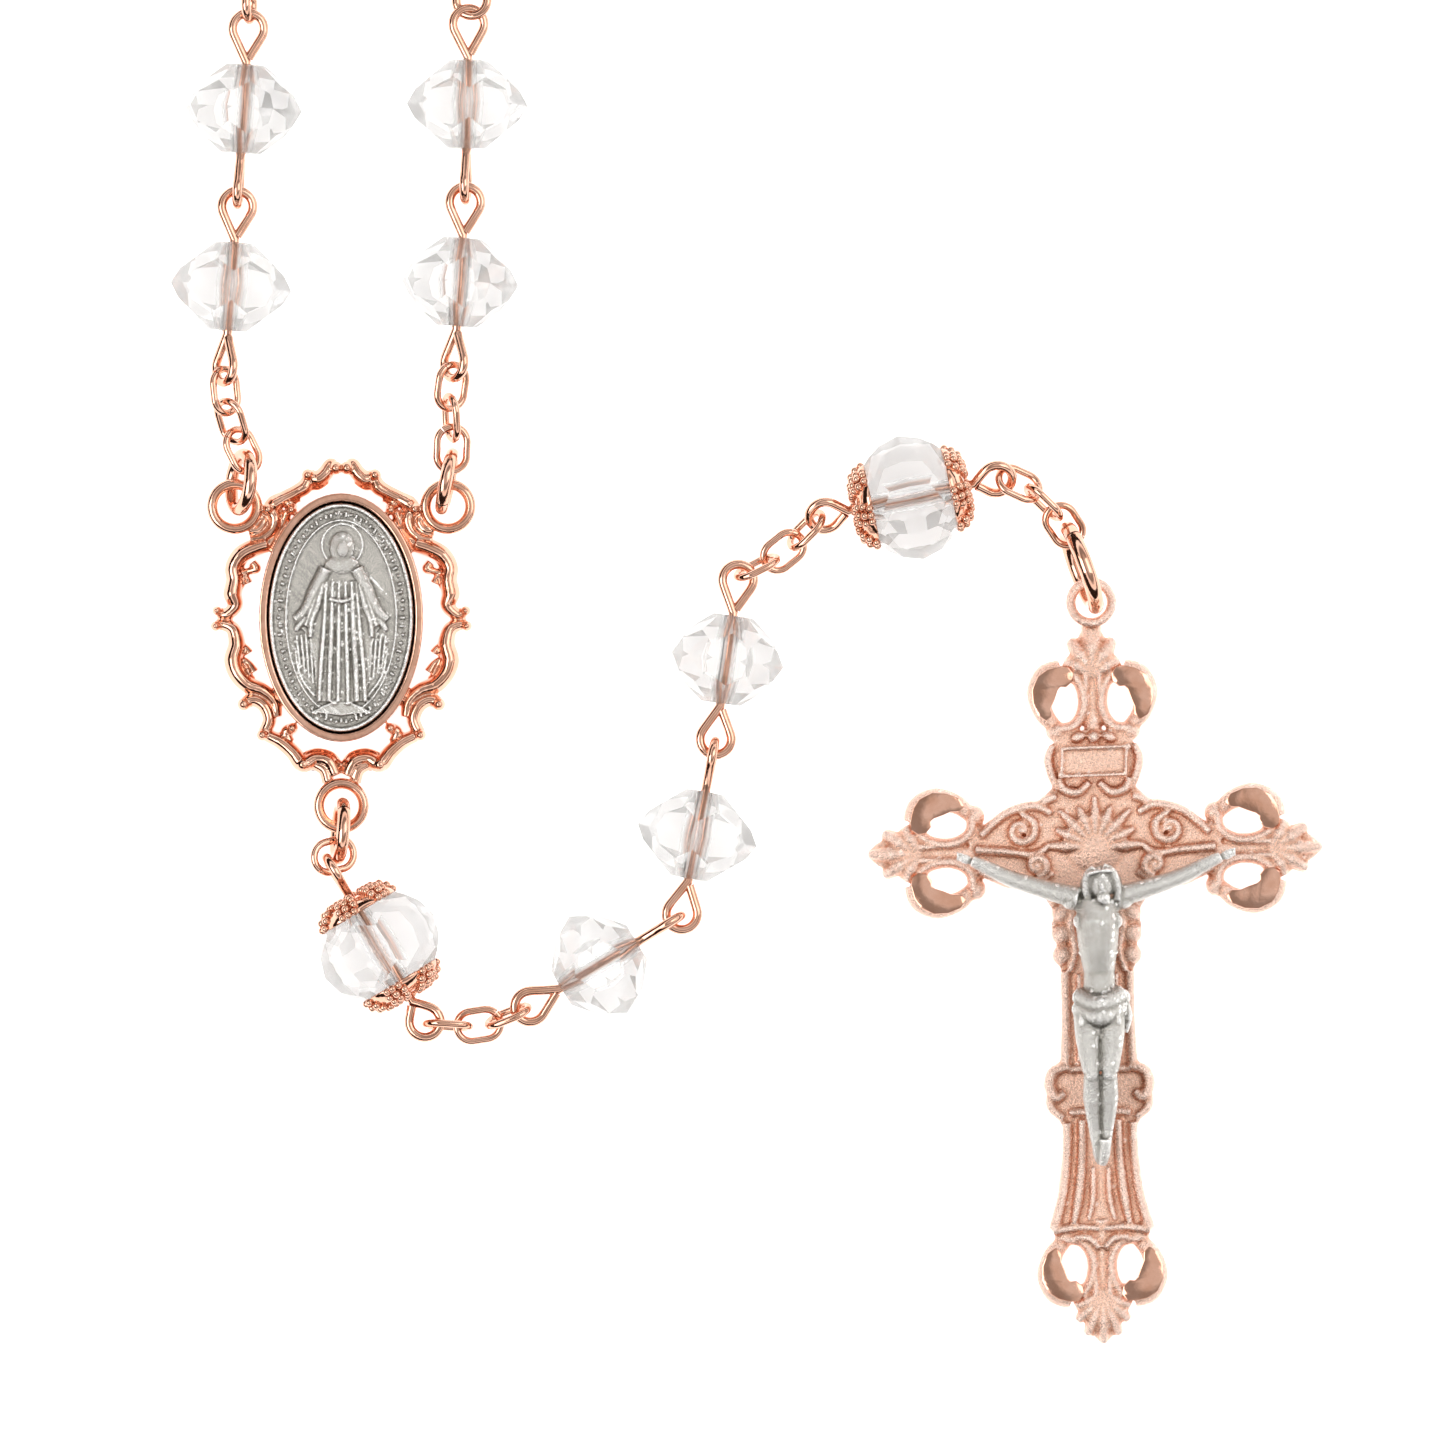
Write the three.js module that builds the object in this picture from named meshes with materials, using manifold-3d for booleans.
// A five-decade rosary laid out flat: glass beads on eye pins, chain links, jump rings,
// a filigree centre with an oval medal, and a cast crucifix with its corpus.
// Millimetres, +Z up. The chain is laid piece by piece, pivot to pivot, outward from the centre.
import * as THREE from "three";
import { ConvexGeometry } from "three/addons/geometries/ConvexGeometry.js";
import { mergeVertices } from "three/addons/utils/BufferGeometryUtils.js";
import Module from "manifold-3d";

const wasm = await Module();
wasm.setup();

// ---------------------------------------------------------------- driving dimensions

const CLEARANCE = 0.3; // free gap between separate pieces
const HOOK_PLAY = 0.36; // free gap between two hooked wires
const WELD = 1e-4;

const HAIL_BEAD = { radius: 4.0, halfLength: 3.15, faceRadius: 2.2, shoulder: 1.7, shoulderRadius: 3.45 };
const FATHER_BEAD = { radius: 4.2, halfLength: 3.6, faceRadius: 1.9, shoulder: 2.2, shoulderRadius: 3.5 };
const BEAD_SIDES = 10;
const JOINED_BEAD_SIDES = 8;

const CAP = { thickness: 0.5, rimRadius: 3.1, sides: 8 };

const PIN_WIRE = 0.65; // wire diameter of the eye pins
const EYE_RADIUS = 1.12; // centre line of an eye's round end
const HAIL_EYE_LENGTH = 3.7; // bead face to the eye's outermost centre line
const FATHER_EYE_LENGTH = 2.98; // cap end to the eye's outermost centre line
const NECK_GAP = 0.2; // bare shank between a bead and its eye
const EYE_END_GAP = 0.95; // how far from the neck the bent wire ends

const LINK_WIRE = 0.55;
const LINK_HOLE = { width: 1.6, length: 2.6 };
const LINK = { wire: LINK_WIRE, width: LINK_HOLE.width + 2 * LINK_WIRE, length: LINK_HOLE.length + 2 * LINK_WIRE };
const JUMP_RING = { wire: 0.95, diameter: 4.9, height: 2.6 };
const CROSS_RING = { wire: 1.15, diameter: 7.0, height: 3.6 };

const EAR = { wire: 0.67, hole: 2.4, level: 1.8 };
const BAIL = { wire: 0.62, hole: 2.3, level: 2.2 };

const MEDAL = { halfWidth: 5.2, halfHeight: 8.2, thickness: 1.2, relief: 0.45 };
const BEZEL = { wall: 0.55, ledge: 0.9, floor: 0.8, height: 2.3 };
const SCROLL = { width: 1.0, height: 1.7, knob: 0.62 };
const CENTRE_MIDDLE = new THREE.Vector2(-27.25, 7.5);
const SIDE_EAR = new THREE.Vector2(7.63, 7.95); // from the medal's middle, mirrored
const LOWER_EAR = new THREE.Vector2(0, -13.45);
const RIGHT_RING_OFFSET = 0.35; // how far from the middle of its ear the right ring hangs

const CROSS = {
  plate: 1.8, ridge: 2.3, armHalf: 2.75, shaftHalf: 2.75, armReach: 8.2, topReach: 8.2, footReach: 27.2,
  finialLength: 8.1, turn: 1.0,
};
const CORPUS_LIFT = CROSS.ridge + CLEARANCE;

const BEAD_HEIGHT = FATHER_BEAD.radius; // height of every bead's axis above the table
const LINK_SAG = 0.5; // how much lower a run of links lies between two beads

const STRAND_ROWS = 6; // rows of the folded loop
const ROW_TURN = 12.4; // radius of its turns
const COLUMN_GAP = 9.5; // free width beside the left column
const LAST_ROW_RISE = 15; // last row above the right strand's end
const DECADE_BEADS = [8, 10, 10, 10, 8]; // beads of each decade beyond the two near the centre
const LINKS_IN_RUN = 3;

// ---------------------------------------------------------------- materials

const roseGold = () => new THREE.MeshStandardMaterial({ color: "#d79a7b", roughness: 0.22, metalness: 1 });
const satinRoseGold = () => new THREE.MeshStandardMaterial({ color: "#d8a287", roughness: 0.5, metalness: 1 });
const oldSilver = () => new THREE.MeshStandardMaterial({ color: "#a9a49c", roughness: 0.4, metalness: 1 });
const crystal = () => new THREE.MeshStandardMaterial({ color: "#f3f1f0", roughness: 0.05, metalness: 0 });
const joinedChain = () => new THREE.MeshStandardMaterial({ color: "#efe3dd", roughness: 0.1, metalness: 0 });

// ---------------------------------------------------------------- solids

// A closed three.js geometry as a manifold solid: corners merged, empty triangles dropped.
function solidOf(geometry) {
  const bare = geometry.clone();
  bare.deleteAttribute("normal");
  bare.deleteAttribute("uv");
  const welded = mergeVertices(bare, WELD);
  const index = welded.getIndex();
  const corners = [];
  for (let i = 0; i < index.count; i += 3) {
    const triangle = [index.getX(i), index.getX(i + 1), index.getX(i + 2)];
    if (new Set(triangle).size === 3) corners.push(...triangle);
  }
  return new wasm.Manifold(new wasm.Mesh({
    numProp: 3,
    vertProperties: new Float32Array(welded.getAttribute("position").array),
    triVerts: new Uint32Array(corners),
  }));
}

function geometryOf(solid) {
  const mesh = solid.getMesh();
  const geometry = new THREE.BufferGeometry();
  geometry.setAttribute("position", new THREE.BufferAttribute(mesh.vertProperties, mesh.numProp));
  geometry.setIndex(new THREE.BufferAttribute(mesh.triVerts, 1));
  geometry.computeVertexNormals();
  return geometry;
}

const joinAll = (solids) => solids.reduce((whole, next) => whole.add(next));

// A curve through given stations that keeps them as its own steps.
class StationCurve extends THREE.Curve {
  constructor(stations) {
    super();
    this.stations = stations;
  }

  getUtoTmapping(u) {
    return u;
  }

  getPoint(t) {
    const place = t * (this.stations.length - 1);
    const before = Math.min(Math.floor(place), this.stations.length - 2);
    return this.stations[before].clone().lerp(this.stations[before + 1], place - before);
  }

  getTangent(t) {
    const here = Math.round(t * (this.stations.length - 1));
    const before = this.stations[Math.max(here - 1, 0)];
    const after = this.stations[Math.min(here + 1, this.stations.length - 1)];
    return after.clone().sub(before).normalize();
  }
}

function roundSection(radius, sides) {
  const corners = [];
  for (let i = 0; i < sides; i += 1) {
    const angle = (2 * Math.PI * (i + 0.5)) / sides;
    corners.push(new THREE.Vector2(radius * Math.cos(angle), radius * Math.sin(angle)));
  }
  return new THREE.Shape(corners);
}

function sweep(stations, section) {
  return new THREE.ExtrudeGeometry(section, {
    steps: stations.length - 1,
    extrudePath: new StationCurve(stations),
    bevelEnabled: false,
  });
}

// ---------------------------------------------------------------- beads and caps

// A cut bead about the X axis: rings of corners, each turned half a step from the next.
function beadGeometry(bead, sides) {
  const rings = [
    [-bead.halfLength, bead.faceRadius, 0],
    [-bead.shoulder, bead.shoulderRadius, 0.5],
    [0, bead.radius, 0],
    [bead.shoulder, bead.shoulderRadius, 0.5],
    [bead.halfLength, bead.faceRadius, 0],
  ];
  const corners = [];
  for (const [x, radius, turn] of rings) {
    for (let i = 0; i < sides; i += 1) {
      const angle = (2 * Math.PI * (i + turn)) / sides;
      corners.push(new THREE.Vector3(x, radius * Math.sin(angle), radius * Math.cos(angle)));
    }
  }
  return new ConvexGeometry(corners);
}

function boreGeometry(length) {
  const bore = new THREE.CylinderGeometry(PIN_WIRE / 2 + CLEARANCE, PIN_WIRE / 2 + CLEARANCE, length, 8);
  return bore.rotateZ(Math.PI / 2);
}

function boredBead(bead) {
  return geometryOf(solidOf(beadGeometry(bead, BEAD_SIDES)).subtract(solidOf(boreGeometry(4 * bead.halfLength))));
}

const capEnd = () => FATHER_BEAD.halfLength + CLEARANCE + CAP.thickness;

// A shallow cup over one end of the large bead; side is 1 or -1 along X.
function beadCap(side) {
  const inner = FATHER_BEAD.halfLength + CLEARANCE;
  const slope = (FATHER_BEAD.halfLength - FATHER_BEAD.shoulder)
    / (FATHER_BEAD.shoulderRadius - FATHER_BEAD.faceRadius);
  const rimInner = inner - slope * (CAP.rimRadius - FATHER_BEAD.faceRadius) + CLEARANCE;
  const hole = PIN_WIRE / 2 + CLEARANCE;
  const profile = [
    new THREE.Vector2(hole, inner),
    new THREE.Vector2(FATHER_BEAD.faceRadius + CLEARANCE, inner),
    new THREE.Vector2(CAP.rimRadius, rimInner),
    new THREE.Vector2(CAP.rimRadius + CAP.thickness / 2, rimInner + CAP.thickness / 2),
    new THREE.Vector2(FATHER_BEAD.faceRadius + CAP.thickness / 2, inner + CAP.thickness),
    new THREE.Vector2(hole, inner + CAP.thickness),
    new THREE.Vector2(hole, inner),
  ];
  const cup = new THREE.LatheGeometry(profile, CAP.sides);
  return geometryOf(solidOf(cup.rotateZ((-side * Math.PI) / 2)));
}

// ---------------------------------------------------------------- wire pieces

// Stations of one eye, from its neck outward: up one leg, round the end and back down the other.
function eyeStations(neck, tip, roll) {
  const middle = tip - EYE_RADIUS;
  const spread = Math.asin(EYE_RADIUS / (middle - neck));
  const sideways = new THREE.Vector3(0, Math.cos(roll), Math.sin(roll));
  const at = (along, across) => new THREE.Vector3(along, 0, 0).addScaledVector(sideways, across);
  const stations = [at(neck, 0)];
  const halfArc = Math.PI / 2 + spread;
  const arcSteps = 6;
  for (let i = 0; i <= arcSteps; i += 1) {
    const angle = halfArc * (1 - (2 * i) / arcSteps);
    stations.push(at(middle + EYE_RADIUS * Math.cos(angle), EYE_RADIUS * Math.sin(angle)));
  }
  stations.push(at(neck + EYE_END_GAP * Math.cos(spread), -EYE_END_GAP * Math.sin(spread)));
  return stations;
}

// An eye pin along X: a straight shank with an eye at each end, each in its own plane.
function eyePin(pin) {
  const near = eyeStations(pin.neck, pin.halfReach, pin.rolls[0]).map((p) => p.setX(-p.x)).reverse();
  const far = eyeStations(pin.neck, pin.halfReach, pin.rolls[1]);
  return sweep([...near, ...far], roundSection(PIN_WIRE / 2, 5));
}

// A ring or an oval link: a torus whose two halves are drawn apart along X.
function chainRing(size, wireSides, ringSides) {
  const ring = new THREE.TorusGeometry((size.width - size.wire) / 2, size.wire / 2, wireSides, ringSides);
  const stretch = (size.length - size.width) / 2;
  const places = ring.getAttribute("position");
  for (let i = 0; i < places.count; i += 1) {
    places.setX(i, places.getX(i) + Math.sign(places.getX(i)) * stretch);
  }
  return ring;
}

const linkGeometry = () => chainRing(LINK, 5, 10);

function jumpRingGeometry(ring) {
  return chainRing({ wire: ring.wire, width: ring.diameter, length: ring.diameter }, 6, 14);
}

// ---------------------------------------------------------------- laying the chain

const rad = THREE.MathUtils.degToRad;

const hailPin = (rolls) => ({
  kind: "pin",
  wire: PIN_WIRE,
  rolls: rolls.map(rad),
  neck: HAIL_BEAD.halfLength + NECK_GAP,
  halfReach: HAIL_BEAD.halfLength + HAIL_EYE_LENGTH,
});

const fatherPin = (rolls) => ({
  kind: "pin",
  wire: PIN_WIRE,
  rolls: rolls.map(rad),
  neck: capEnd() + NECK_GAP,
  halfReach: capEnd() + FATHER_EYE_LENGTH,
});

const link = (roll) => ({
  kind: "link",
  wire: LINK.wire,
  rolls: [rad(roll), rad(roll)],
  halfReach: (LINK.length - LINK.wire) / 2,
});

const ring = (size, roll) => ({
  kind: "ring",
  wire: size.wire,
  size,
  rolls: [rad(roll), rad(roll)],
  halfReach: (size.diameter - size.wire) / 2,
});

// How far inside each of two hooked wires' end centre lines their common pivot lies: an upright
// eye keeps its wire on the pivot, and a flat one reaches round it.
function insets(roll, wire, nextRoll, nextWire) {
  const apart = (wire + nextWire) / 2 + HOOK_PLAY;
  const share = Math.cos(roll) ** 2 / (Math.cos(roll) ** 2 + Math.cos(nextRoll) ** 2);
  return [apart * share, apart * (1 - share)];
}

// Where a leaning ring's centre line passes a given height, on its outward side.
function ringCrossing(piece, level) {
  const climb = (level - piece.size.height) / (piece.halfReach * Math.sin(piece.rolls[0]));
  return {
    along: piece.halfReach * Math.sqrt(1 - climb ** 2),
    across: piece.halfReach * climb * Math.cos(piece.rolls[0]),
  };
}

// Lays pieces from a start pivot. Each gets its place, its heading and its two pivots.
// heights holds the level of every pivot, start first.
function layChain(start, pieces, heights) {
  const laid = [];
  let pivot = start.clone();
  pieces.forEach((piece, i) => {
    const before = pieces[i - 1];
    const after = pieces[i + 1];
    let inner = 0;
    let outer = 0;
    if (before) inner = insets(before.rolls[1], before.wire, piece.rolls[0], piece.wire)[1];
    if (after) outer = insets(piece.rolls[1], piece.wire, after.rolls[0], after.wire)[0];
    let startArm = { along: piece.halfReach - inner, across: 0 };
    let endArm = { along: piece.halfReach - outer, across: 0 };
    if (piece.kind === "ring") {
      const startCrossing = ringCrossing(piece, heights[i]);
      const endCrossing = ringCrossing(piece, heights[i + 1]);
      startArm = { along: startCrossing.along - inner, across: startCrossing.across };
      endArm = { along: endCrossing.along - outer, across: endCrossing.across };
    }
    const length = startArm.along + endArm.along;
    const rise = piece.kind === "ring" ? 0 : heights[i + 1] - heights[i];
    const pitch = Math.asin(rise / length);
    const heading = rad(piece.heading);
    const along = new THREE.Vector2(Math.cos(heading), Math.sin(heading));
    const across = new THREE.Vector2(-along.y, along.x);
    const middle = pivot.clone()
      .addScaledVector(along, startArm.along * Math.cos(pitch))
      .addScaledVector(across, -startArm.across);
    const end = middle.clone()
      .addScaledVector(along, endArm.along * Math.cos(pitch))
      .addScaledVector(across, endArm.across);
    const height = piece.kind === "ring"
      ? piece.size.height
      : heights[i] + startArm.along * Math.sin(pitch);
    laid.push({ ...piece, start: pivot, end, middle, height, pitch, headingAngle: heading });
    pivot = end;
  });
  return laid;
}

function placed(name, geometry, material, piece, roll = 0) {
  const mesh = new THREE.Mesh(geometry, material);
  mesh.name = name;
  mesh.position.set(piece.middle.x, piece.middle.y, piece.height);
  mesh.rotation.set(roll, -piece.pitch, piece.headingAngle, "ZYX");
  return mesh;
}

// ---------------------------------------------------------------- the visible chain, outward from the centre

const sideEar = (side) => new THREE.Vector2(
  CENTRE_MIDDLE.x + side * SIDE_EAR.x,
  CENTRE_MIDDLE.y + SIDE_EAR.y,
);
const headed = (piece, heading, name) => ({ ...piece, heading, name });
const LINK_LEVEL = BEAD_HEIGHT - LINK_SAG;

const leftStrand = layChain(sideEar(-1), [
  headed(ring(JUMP_RING, -68), 84, "left_jump_ring"),
  headed(link(30), 116, "left_link_3"),
  headed(link(-42), 106, "left_link_2"),
  headed(link(42), 96, "left_link_1"),
  headed(hailPin([-55, 10]), 85.5, "left_hail_mary_1"),
  headed(hailPin([88, 8]), 86.5, "left_hail_mary_2"),
], [EAR.level, 3.2, 3.5, 3.9, BEAD_HEIGHT, BEAD_HEIGHT, BEAD_HEIGHT]);

const rightStrand = layChain(sideEar(1).add(new THREE.Vector2(-RIGHT_RING_OFFSET, 0)), [
  headed(ring(JUMP_RING, 88), 79, "right_jump_ring"),
  headed(link(8), 88, "right_link_3"),
  headed(link(-68), 93, "right_link_2"),
  headed(link(30), 82, "right_link_1"),
  headed(hailPin([-50, 5]), 86, "right_hail_mary_1"),
  headed(hailPin([85, 8]), 89, "right_hail_mary_2"),
], [EAR.level, 3.2, 3.5, 3.9, BEAD_HEIGHT, BEAD_HEIGHT, BEAD_HEIGHT]);

const pendant = layChain(new THREE.Vector2(CENTRE_MIDDLE.x + LOWER_EAR.x, CENTRE_MIDDLE.y + LOWER_EAR.y), [
  headed(ring(JUMP_RING, 82), -95, "centre_jump_ring"),
  headed(link(-5), -165, "centre_link"),
  headed(fatherPin([85, 5]), -59, "our_father_1"),
  headed(link(82), -4, "pendant_link_1"),
  headed(link(8), 9, "pendant_link_2"),
  headed(link(-75), 22, "pendant_link_3"),
  headed(hailPin([10, 88]), 31, "hail_mary_1"),
  headed(hailPin([5, 88]), 79, "hail_mary_2"),
  headed(hailPin([5, 8]), 82, "hail_mary_3"),
  headed(link(-72), 27, "pendant_link_4"),
  headed(link(18), 39, "pendant_link_5"),
  headed(link(-62), 45, "pendant_link_6"),
  headed(fatherPin([30, 30]), 12, "our_father_2"),
  headed(link(-35), -24, "pendant_link_7"),
  headed(link(75), -44, "pendant_link_8"),
  headed(link(5), -56, "pendant_link_9"),
  headed(ring(CROSS_RING, 85), -70, "crucifix_jump_ring"),
], [
  EAR.level, 3.7, BEAD_HEIGHT, BEAD_HEIGHT, LINK_LEVEL, LINK_LEVEL, BEAD_HEIGHT, BEAD_HEIGHT, BEAD_HEIGHT,
  BEAD_HEIGHT, LINK_LEVEL, LINK_LEVEL, BEAD_HEIGHT, BEAD_HEIGHT, 3.9, 3.6, 3.3, BAIL.level,
]);

// ---------------------------------------------------------------- the folded far loop

// The path of the far loop: up the left side, then row by row down to the right strand.
function foldedPath(from, to, rowEnd) {
  const firstRow = to.y + LAST_ROW_RISE + 2 * ROW_TURN * (STRAND_ROWS - 1);
  const rowStart = from.x + COLUMN_GAP + ROW_TURN;
  const parts = [];
  const line = (x0, y0, x1, y1) => parts.push({ from: [x0, y0], to: [x1, y1], length: Math.hypot(x1 - x0, y1 - y0) });
  const arc = (x, y, begin, sweepAngle) => {
    parts.push({ middle: [x, y], begin, sweepAngle, length: ROW_TURN * Math.abs(sweepAngle) });
  };
  line(from.x, from.y, from.x, firstRow - ROW_TURN);
  arc(from.x + ROW_TURN, firstRow - ROW_TURN, Math.PI, -Math.PI / 2);
  for (let row = 0; row < STRAND_ROWS; row += 1) {
    const y = firstRow - 2 * ROW_TURN * row;
    const eastward = row % 2 === 0;
    const first = row === 0 ? from.x + ROW_TURN : rowStart;
    const last = row === STRAND_ROWS - 1 ? to.x + ROW_TURN : rowStart;
    if (eastward) line(first, y, rowEnd, y);
    else line(rowEnd, y, last, y);
    if (row < STRAND_ROWS - 1) {
      arc(eastward ? rowEnd : rowStart, y - ROW_TURN, Math.PI / 2, eastward ? -Math.PI : Math.PI);
    }
  }
  const lastRow = firstRow - 2 * ROW_TURN * (STRAND_ROWS - 1);
  arc(to.x + ROW_TURN, lastRow - ROW_TURN, Math.PI / 2, Math.PI / 2);
  line(to.x, lastRow - ROW_TURN, to.x, to.y);
  return parts;
}

function pathPoint(parts, distance) {
  let left = distance;
  for (const part of parts) {
    if (left <= part.length || part === parts[parts.length - 1]) {
      const share = left / part.length;
      if (part.from) {
        return new THREE.Vector2(
          part.from[0] + share * (part.to[0] - part.from[0]),
          part.from[1] + share * (part.to[1] - part.from[1]),
        );
      }
      const angle = part.begin + share * part.sweepAngle;
      return new THREE.Vector2(
        part.middle[0] + ROW_TURN * Math.cos(angle),
        part.middle[1] + ROW_TURN * Math.sin(angle),
      );
    }
    left -= part.length;
  }
  return null;
}

// Halves an interval until the value that changes sign inside it is found.
function solve(low, high, isPast) {
  let [under, over] = [low, high];
  for (let i = 0; i < 60; i += 1) {
    const middle = (under + over) / 2;
    if (isPast(middle)) over = middle;
    else under = middle;
  }
  return (under + over) / 2;
}

// Pivots along the path, one straight piece after another.
function walkPath(parts, lengths) {
  const pivots = [pathPoint(parts, 0)];
  let travelled = 0;
  for (const length of lengths) {
    const here = pivots[pivots.length - 1];
    const from = travelled;
    travelled = solve(from, from + 2 * length, (s) => pathPoint(parts, s).distanceTo(here) > length);
    pivots.push(pathPoint(parts, travelled));
  }
  return { pivots, travelled };
}

const HAIL_PITCH = 2 * (HAIL_BEAD.halfLength + HAIL_EYE_LENGTH) - PIN_WIRE - HOOK_PLAY;
const FATHER_PITCH = 2 * (capEnd() + FATHER_EYE_LENGTH) - PIN_WIRE - HOOK_PLAY;
const LINK_PITCH = LINK.length - 2 * LINK.wire - HOOK_PLAY;

// The far loop's pieces in order, grouped into the runs that are joined.
function farRuns() {
  const runs = [];
  DECADE_BEADS.forEach((count, i) => {
    runs.push({ name: `decade_${i + 1}`, kinds: Array(count).fill("hail") });
    if (i < DECADE_BEADS.length - 1) {
      const links = Array(LINKS_IN_RUN).fill("link");
      runs.push({ name: `decade_divider_${i + 1}`, kinds: [...links, "father", ...links] });
    }
  });
  return runs;
}

const PITCHES = { hail: HAIL_PITCH, father: FATHER_PITCH, link: LINK_PITCH };

function farPivots(from, to) {
  const lengths = farRuns().flatMap((run) => run.kinds.map((kind) => PITCHES[kind]));
  const total = (rowEnd) => foldedPath(from, to, rowEnd).reduce((sum, part) => sum + part.length, 0);
  const shortest = from.x + COLUMN_GAP + ROW_TURN;
  const rowEnd = solve(shortest, shortest + 300, (x) => total(x) > walkPath(foldedPath(from, to, x), lengths).travelled);
  return walkPath(foldedPath(from, to, rowEnd), lengths).pivots;
}

// One joined run: its beads and the wire that runs through them, its eyes and links left straight.
function joinedRun(kinds, pivots) {
  const solids = [];
  const wireEnd = (PIN_WIRE + HOOK_PLAY) / 2;
  kinds.forEach((kind, i) => {
    const [a, b] = [pivots[i], pivots[i + 1]];
    const heading = Math.atan2(b.y - a.y, b.x - a.x);
    const middle = a.clone().add(b).multiplyScalar(0.5);
    const put = (geometry) => solidOf(geometry.rotateZ(heading).translate(middle.x, middle.y, BEAD_HEIGHT));
    const half = PITCHES[kind] / 2;
    const startReach = half + (i === 0 ? -wireEnd : wireEnd);
    const endReach = half + (i === kinds.length - 1 ? -wireEnd : wireEnd);
    const wire = new THREE.BoxGeometry(startReach + endReach, PIN_WIRE, PIN_WIRE);
    solids.push(put(wire.translate((endReach - startReach) / 2, 0, 0)));
    if (kind === "hail") solids.push(put(beadGeometry(HAIL_BEAD, JOINED_BEAD_SIDES)));
    if (kind === "father") solids.push(put(beadGeometry(FATHER_BEAD, JOINED_BEAD_SIDES)));
  });
  return joinAll(solids);
}

function farLoop() {
  const group = new THREE.Group();
  const from = leftStrand[leftStrand.length - 1].end;
  const to = rightStrand[rightStrand.length - 1].end;
  const pivots = farPivots(from, to);
  let used = 0;
  for (const run of farRuns()) {
    const mesh = new THREE.Mesh(
      geometryOf(joinedRun(run.kinds, pivots.slice(used, used + run.kinds.length + 1))),
      joinedChain(),
    );
    mesh.name = run.name;
    group.add(mesh);
    used += run.kinds.length;
  }
  return group;
}

// ---------------------------------------------------------------- chain pieces as meshes

function chainMeshes(laid) {
  const group = new THREE.Group();
  for (const piece of laid) {
    if (piece.kind === "link") {
      group.add(placed(piece.name, linkGeometry(), roseGold(), piece, piece.rolls[0]));
    } else if (piece.kind === "ring") {
      group.add(placed(piece.name, jumpRingGeometry(piece.size), roseGold(), piece, piece.rolls[0]));
    } else {
      group.add(placed(`${piece.name}_pin`, eyePin(piece), roseGold(), piece));
      if (piece.name.startsWith("our_father")) {
        group.add(placed(`${piece.name}_bead`, boredBead(FATHER_BEAD), crystal(), piece));
        group.add(placed(`${piece.name}_cap_near`, beadCap(-1), roseGold(), piece));
        group.add(placed(`${piece.name}_cap_far`, beadCap(1), roseGold(), piece));
      } else {
        group.add(placed(`${piece.name}_bead`, boredBead(HAIL_BEAD), crystal(), piece));
      }
    }
  }
  return group;
}

// ---------------------------------------------------------------- the centre

function ovalShape(halfWidth, halfHeight, sides) {
  const corners = [];
  for (let i = 0; i < sides; i += 1) {
    const angle = (2 * Math.PI * i) / sides;
    corners.push(new THREE.Vector2(halfWidth * Math.cos(angle), halfHeight * Math.sin(angle)));
  }
  return new THREE.Shape(corners);
}

function slab(shape, bottom, top) {
  const plate = new THREE.ExtrudeGeometry(shape, { depth: top - bottom, bevelEnabled: false, curveSegments: 4 });
  return solidOf(plate.translate(0, 0, bottom));
}

function flatRing(holeDiameter, wire, level, x, y) {
  const loop = new THREE.TorusGeometry((holeDiameter + wire) / 2, wire / 2, 5, 12);
  return solidOf(loop.translate(x, y, level));
}

// A scroll: a flat-backed band along hand-chosen points, drawn as a smooth curve, with a round
// knob at the ends that are asked for.
function scroll(points, steps, knobEnds) {
  const route = new THREE.CatmullRomCurve3(points.map(([x, y]) => new THREE.Vector3(x, y, 0)));
  const stations = route.getSpacedPoints(steps);
  const left = [];
  const right = [];
  stations.forEach((point, i) => {
    const ahead = stations[Math.min(i + 1, steps)].clone().sub(stations[Math.max(i - 1, 0)]).normalize();
    const half = SCROLL.width / 2;
    left.push(new THREE.Vector2(point.x - ahead.y * half, point.y + ahead.x * half));
    right.push(new THREE.Vector2(point.x + ahead.y * half, point.y - ahead.x * half));
  });
  const band = slab(new THREE.Shape([...right, ...left.reverse()]), 0, SCROLL.height);
  const knobs = knobEnds.map((end) => {
    const place = end === "start" ? stations[0] : stations[steps];
    return slab(ovalShape(SCROLL.knob, SCROLL.knob, 6), 0, SCROLL.height).translate([place.x, place.y, 0]);
  });
  return joinAll([band, ...knobs]);
}

// Scroll routes of the left half, from the medal's middle.
const CREST_SCROLL = [[-0.35, 10.7], [-1.4, 9.95], [-2.5, 10.15], [-3.6, 9.1], [-5.2, 8.0]];
const SHOULDER_SCROLL = [[-5.0, 8.1], [-4.5, 7.0], [-5.3, 6.2], [-6.5, 5.9]];
const UPPER_BRIDGE = [[-4.1, 6.3], [-4.6, 7.2]];
const UPPER_SIDE_SCROLL = [[-6.2, 5.7], [-7.7, 4.6], [-8.25, 3.2], [-8.1, 1.6], [-8.55, 0.45]];
const LOWER_SIDE_SCROLL = [[-8.55, -0.45], [-8.0, -1.7], [-8.1, -3.4], [-7.2, -5.0], [-5.4, -6.0], [-4.9, -7.6]];
const LOWER_BRIDGE = [[-4.1, -6.3], [-5.0, -7.0]];
const CORNER_SCROLL = [[-6.7, -6.3], [-5.9, -7.0], [-5.35, -8.2]];
const LOWER_SCROLL = [[-5.3, -8.1], [-4.0, -9.4], [-2.7, -10.35], [-1.5, -10.0], [-0.5, -11.4]];

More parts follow.
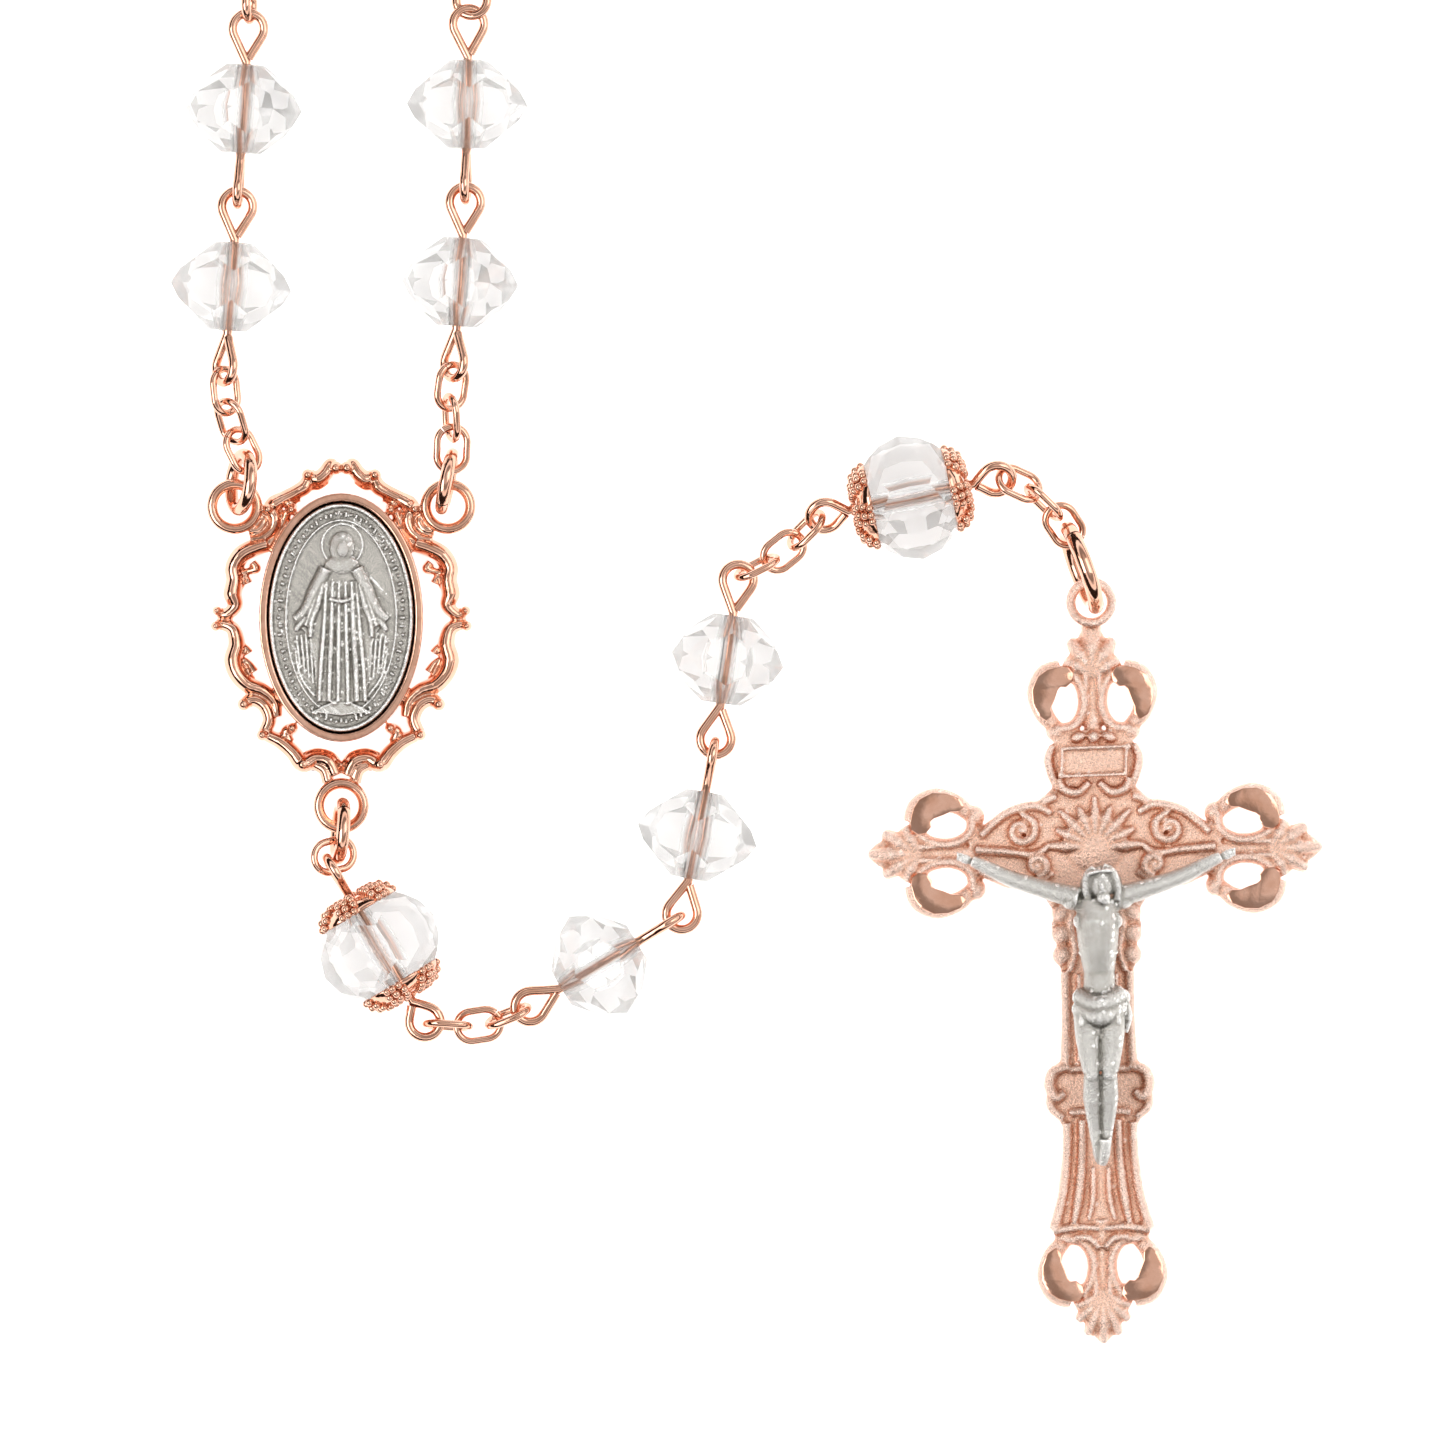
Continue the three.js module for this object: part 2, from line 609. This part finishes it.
function centreFrame() {
  const inner = [MEDAL.halfWidth + CLEARANCE, MEDAL.halfHeight + CLEARANCE];
  const outer = ovalShape(inner[0] + BEZEL.wall, inner[1] + BEZEL.wall, 24);
  const seat = slab(ovalShape(inner[0], inner[1], 24), BEZEL.floor, 2 * BEZEL.height);
  const window = slab(ovalShape(inner[0] - BEZEL.ledge, inner[1] - BEZEL.ledge, 16), -1, 2 * BEZEL.height);
  const routes = [
    [CREST_SCROLL, 7, ["start", "end"]], [SHOULDER_SCROLL, 4, ["end"]], [UPPER_BRIDGE, 1, []],
    [UPPER_SIDE_SCROLL, 6, ["end"]], [LOWER_SIDE_SCROLL, 8, ["start"]], [LOWER_BRIDGE, 1, []],
    [CORNER_SCROLL, 2, ["start"]], [LOWER_SCROLL, 7, []],
  ];
  const half = joinAll(routes.map(([points, steps, knobEnds]) => scroll(points, steps, knobEnds)));
  const ears = [
    flatRing(EAR.hole, EAR.wire, EAR.level, -SIDE_EAR.x, SIDE_EAR.y),
    flatRing(EAR.hole, EAR.wire, EAR.level, SIDE_EAR.x, SIDE_EAR.y),
    flatRing(EAR.hole, EAR.wire, EAR.level, LOWER_EAR.x, LOWER_EAR.y),
  ];
  const footX = LOWER_EAR.x;
  const earEdge = LOWER_EAR.y + EAR.hole / 2 + EAR.wire / 2;
  const foot = slab(new THREE.Shape([
    new THREE.Vector2(footX - 0.9, earEdge - 0.1),
    new THREE.Vector2(footX + 0.9, earEdge - 0.1),
    new THREE.Vector2(footX + 0.7, earEdge + 1.2),
    new THREE.Vector2(footX - 0.7, earEdge + 1.2),
  ]), 0, EAR.level);
  const frame = joinAll([slab(outer, 0, BEZEL.height), half, half.mirror([1, 0, 0]), ...ears, foot]);
  return geometryOf(frame.subtract(seat).subtract(window));
}

function medal() {
  const disc = slab(ovalShape(MEDAL.halfWidth, MEDAL.halfHeight, 32), 0, MEDAL.thickness - MEDAL.relief);
  const rim = slab(ovalShape(MEDAL.halfWidth, MEDAL.halfHeight, 32), 0, MEDAL.thickness - MEDAL.relief / 2);
  const field = slab(ovalShape(MEDAL.halfWidth - 1.5, MEDAL.halfHeight - 1.5, 24), -1, 2 * MEDAL.thickness);
  const robe = slab(new THREE.Shape([
    new THREE.Vector2(-0.9, 3.9), new THREE.Vector2(-2.4, 0.6), new THREE.Vector2(-1.9, -5.2),
    new THREE.Vector2(1.9, -5.2), new THREE.Vector2(2.4, 0.6), new THREE.Vector2(0.9, 3.9),
  ]), 0, MEDAL.thickness);
  const head = slab(ovalShape(0.85, 1.1, 10), 0, MEDAL.thickness).translate([0, 4.7, 0]);
  return geometryOf(joinAll([disc, rim.subtract(field), robe, head]));
}

function centre() {
  const group = new THREE.Group();
  group.position.set(CENTRE_MIDDLE.x, CENTRE_MIDDLE.y, 0);
  const frameMesh = new THREE.Mesh(centreFrame(), roseGold());
  frameMesh.name = "centre_frame";
  const medalMesh = new THREE.Mesh(medal(), oldSilver());
  medalMesh.name = "centre_medal";
  medalMesh.position.z = BEZEL.floor + CLEARANCE;
  group.add(frameMesh, medalMesh);
  return group;
}

// ---------------------------------------------------------------- the crucifix

// One end of the cross, growing along +Y from its base: two pierced curls and a pointed leaf.
function finial() {
  const outline = new THREE.Shape();
  outline.moveTo(-2.7, -1.2);
  outline.quadraticCurveTo(-2.4, 0, -3.3, 0.3);
  outline.quadraticCurveTo(-4.6, 1.2, -4.4, 3.0);
  outline.quadraticCurveTo(-4.1, 4.9, -2.6, 5.0);
  outline.lineTo(-1.9, 4.6);
  outline.lineTo(-2.6, 5.6);
  outline.quadraticCurveTo(-1.9, 6.4, -1.3, 6.6);
  outline.quadraticCurveTo(-0.7, 7.2, 0, CROSS.finialLength);
  outline.quadraticCurveTo(0.7, 7.2, 1.3, 6.6);
  outline.quadraticCurveTo(1.9, 6.4, 2.6, 5.6);
  outline.lineTo(1.9, 4.6);
  outline.lineTo(2.6, 5.0);
  outline.quadraticCurveTo(4.1, 4.9, 4.4, 3.0);
  outline.quadraticCurveTo(4.6, 1.2, 3.3, 0.3);
  outline.quadraticCurveTo(2.4, 0, 2.7, -1.2);
  for (const side of [-1, 1]) {
    const hole = new THREE.Path();
    hole.absellipse(side * 1.75, 2.2, 0.62, 1.5, 0, 2 * Math.PI, false, side * -0.3);
    outline.holes.push(hole);
  }
  return slab(outline, 0, CROSS.plate);
}

function placedFinial(x, y, turn) {
  return finial().rotate([0, 0, turn]).translate([x, y, 0]);
}

// Half widths of the shaft from its head down to its foot, in pairs of place and half width.
const SHAFT_EDGE = [
  [CROSS.topReach, 2.6], [5.5, 3.3], [3.6, 2.6], [2.2, 4.6], [-3.0, 4.2], [-4.8, CROSS.shaftHalf],
  [-15.6, CROSS.shaftHalf], [-16.4, 3.85], [-18.4, 3.85], [-19.4, CROSS.shaftHalf], [-26.6, 3.7],
  [-CROSS.footReach, 2.6],
];

function cross() {
  const edge = SHAFT_EDGE.map(([y, half]) => new THREE.Vector2(half, y));
  const otherEdge = SHAFT_EDGE.map(([y, half]) => new THREE.Vector2(-half, y)).reverse();
  const shaft = slab(new THREE.Shape([...otherEdge, ...edge]), 0, CROSS.plate);
  const arms = slab(new THREE.Shape([
    new THREE.Vector2(-CROSS.armReach - 0.6, -2.2), new THREE.Vector2(-4, -CROSS.armHalf),
    new THREE.Vector2(4, -CROSS.armHalf), new THREE.Vector2(CROSS.armReach + 0.6, -2.2),
    new THREE.Vector2(CROSS.armReach + 0.6, 2.2), new THREE.Vector2(4, CROSS.armHalf),
    new THREE.Vector2(-4, CROSS.armHalf), new THREE.Vector2(-CROSS.armReach - 0.6, 2.2),
  ]), 0, CROSS.plate);
  const boss = slab(ovalShape(4.2, 3.2, 16), 0, CROSS.ridge);
  const plaque = slab(new THREE.Shape([
    new THREE.Vector2(-2.3, 5.3), new THREE.Vector2(2.3, 5.3),
    new THREE.Vector2(2.3, 7.4), new THREE.Vector2(-2.3, 7.4),
  ]), 0, CROSS.ridge);
  const bailY = CROSS.topReach + CROSS.finialLength + BAIL.hole / 2 + BAIL.wire / 2;
  const neck = slab(new THREE.Shape([
    new THREE.Vector2(-0.7, bailY - BAIL.hole / 2 - BAIL.wire - 1.4),
    new THREE.Vector2(0.7, bailY - BAIL.hole / 2 - BAIL.wire - 1.4),
    new THREE.Vector2(0.8, bailY - BAIL.hole / 2 - BAIL.wire / 2),
    new THREE.Vector2(-0.8, bailY - BAIL.hole / 2 - BAIL.wire / 2),
  ]), 0, BAIL.level + BAIL.wire / 3);
  const hole = slab(ovalShape(BAIL.hole / 2, BAIL.hole / 2, 14), -1, 9).translate([0, bailY, 0]);
  return geometryOf(joinAll([
    shaft, arms, boss, plaque, neck,
    placedFinial(0, CROSS.topReach, 0),
    placedFinial(-CROSS.armReach, 0, 90),
    placedFinial(CROSS.armReach, 0, -90),
    placedFinial(0, -CROSS.footReach, 180),
    flatRing(BAIL.hole, BAIL.wire, BAIL.level, 0, bailY),
  ]).subtract(hole));
}

// A limb: the hull round two many-sided balls, each given as [x, y, z, radius].
function limb(from, to) {
  const corners = [];
  for (const [x, y, z, radius] of [from, to]) {
    const ball = new THREE.IcosahedronGeometry(radius, 0).translate(x, y, z).getAttribute("position");
    for (let i = 0; i < ball.count; i += 1) {
      corners.push(new THREE.Vector3().fromBufferAttribute(ball, i));
    }
  }
  return solidOf(new ConvexGeometry(corners));
}

// The corpus in the cross's own frame, lying on its front.
function corpus() {
  const z = CORPUS_LIFT;
  const mirrorPair = (points) => [points, points.map(([x, y, h, r]) => [-x, y, h, r])];
  const arms = mirrorPair([[9.3, -0.5, z + 0.7, 0.6], [5.9, -1.9, z + 1.0, 0.65], [1.4, -3.3, z + 1.5, 0.9]])
    .flatMap(([hand, elbow, shoulder]) => [limb(hand, elbow), limb(elbow, shoulder)]);
  const trunk = [
    limb([0, -3.7, z + 1.4, 1.5], [0, -6.6, z + 1.3, 1.45]),
    limb([0, -6.6, z + 1.3, 1.45], [0, -9.0, z + 1.1, 1.2]),
    limb([0, -9.0, z + 1.1, 1.2], [0, -10.6, z + 1.3, 1.45]),
  ];
  const legs = mirrorPair([[0.55, -11.2, z + 1.3, 1.1], [0.6, -15.8, z + 1.6, 0.8], [0.4, -20.6, z + 0.8, 0.6]])
    .flatMap(([hip, knee, ankle]) => [limb(hip, knee), limb(knee, ankle)]);
  const feet = limb([0, -20.6, z + 0.9, 0.8], [0, -22.0, z + 0.7, 0.6]);
  const head = solidOf(new THREE.IcosahedronGeometry(1.5, 1).scale(0.95, 1.2, 1).translate(0.3, -2.2, z + 2.0));
  const behind = slab(ovalShape(30, 40, 12), -20, z);
  return geometryOf(joinAll([...arms, ...trunk, ...legs, feet, head]).subtract(behind));
}

function crucifix() {
  const group = new THREE.Group();
  const hook = pendant[pendant.length - 1].end;
  const turn = rad(CROSS.turn);
  const bailY = CROSS.topReach + CROSS.finialLength + BAIL.hole / 2 + BAIL.wire / 2;
  group.position.set(hook.x + bailY * Math.sin(turn), hook.y - bailY * Math.cos(turn), 0);
  group.rotation.z = turn;
  const crossMesh = new THREE.Mesh(cross(), satinRoseGold());
  crossMesh.name = "cross";
  const corpusMesh = new THREE.Mesh(corpus(), oldSilver());
  corpusMesh.name = "corpus";
  group.add(crossMesh, corpusMesh);
  return group;
}

// ---------------------------------------------------------------- the whole rosary

const rosary = new THREE.Group();
rosary.add(
  farLoop(),
  chainMeshes(leftStrand),
  chainMeshes(rightStrand),
  centre(),
  chainMeshes(pendant),
  crucifix(),
);

// The origin is the middle of the footprint, at the table.
rosary.updateMatrixWorld(true);
const box = new THREE.Box3().setFromObject(rosary, true);
rosary.position.set(-(box.min.x + box.max.x) / 2, -(box.min.y + box.max.y) / 2, -box.min.z);

export default rosary;
